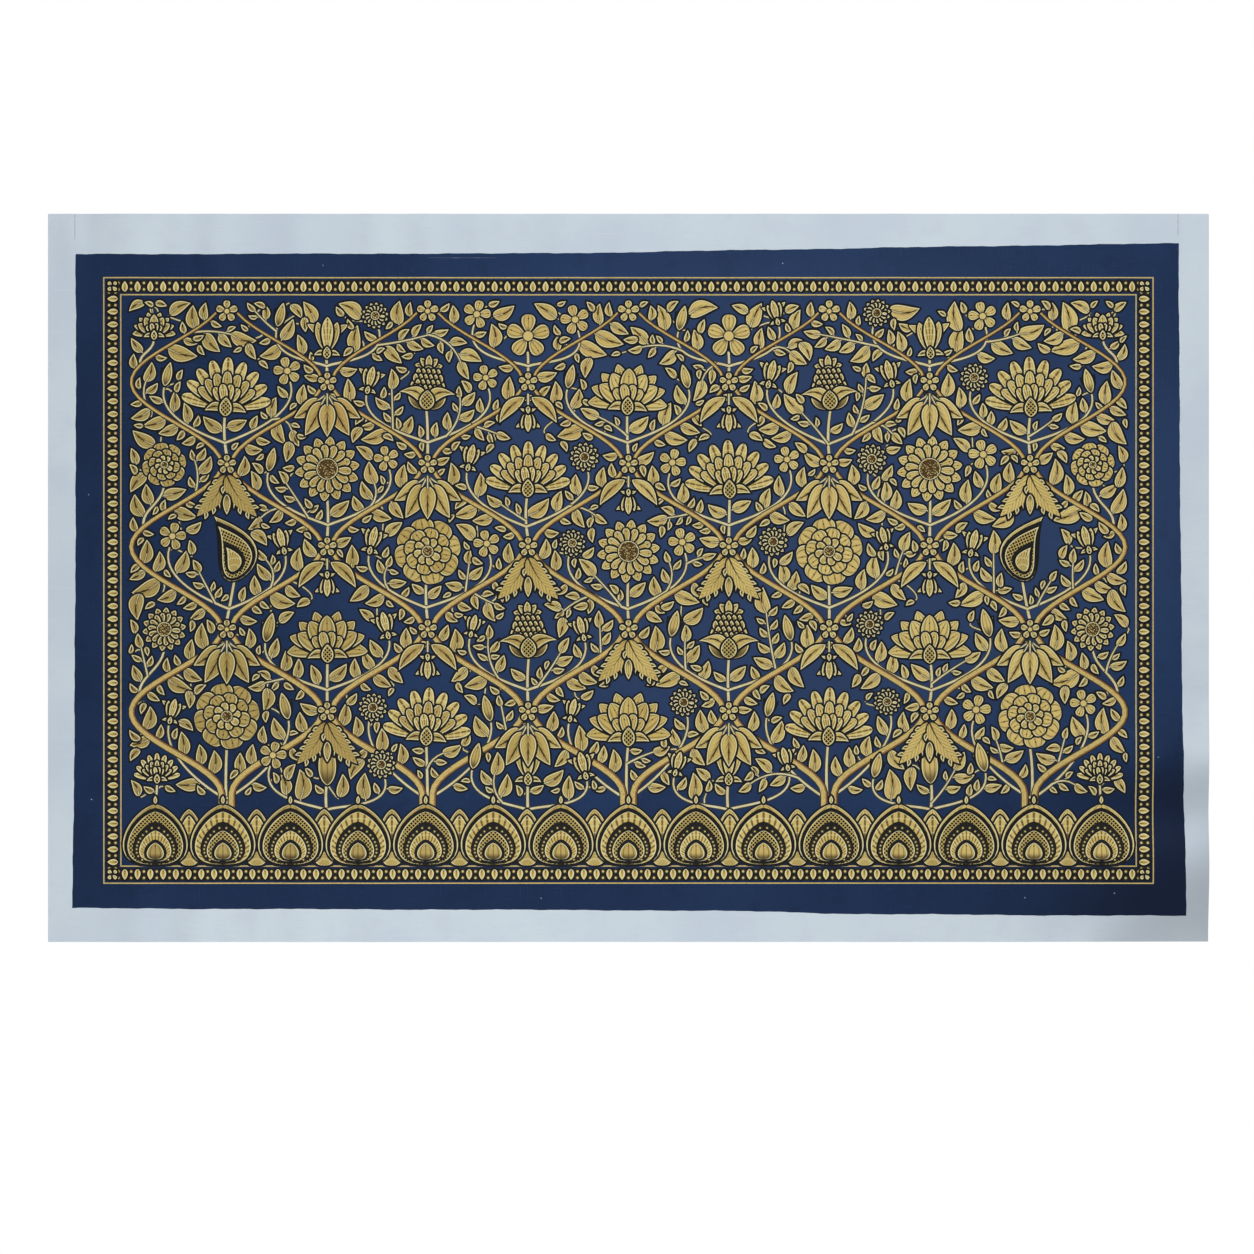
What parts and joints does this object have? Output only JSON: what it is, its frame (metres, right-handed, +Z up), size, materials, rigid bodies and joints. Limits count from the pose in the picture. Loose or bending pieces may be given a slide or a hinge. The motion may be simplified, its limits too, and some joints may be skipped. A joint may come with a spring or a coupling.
{
  "type": "pichwai painting",
  "caption": "Unframed temple backcloth of painted cotton: a deep blue field with gold plant ornament and bare margins, hanging by its top edge in soft ripples.",
  "frame": {"origin": "middle of the cloth's top edge, in the sheet's flat plane", "axes": "+X to the right as the painting is looked at, +Z up, and the painted face looks along -Y"},
  "size_m": [1.596, 0.0167, 1.0011],
  "materials": {
    "painted_cotton": "matte pigment on plain-woven cotton, with bronze-gold ornament and pale bare margins"
  },
  "bodies": {
    "root": {"painted_cloth": "painted_cotton"}
  },
  "joints": []
}
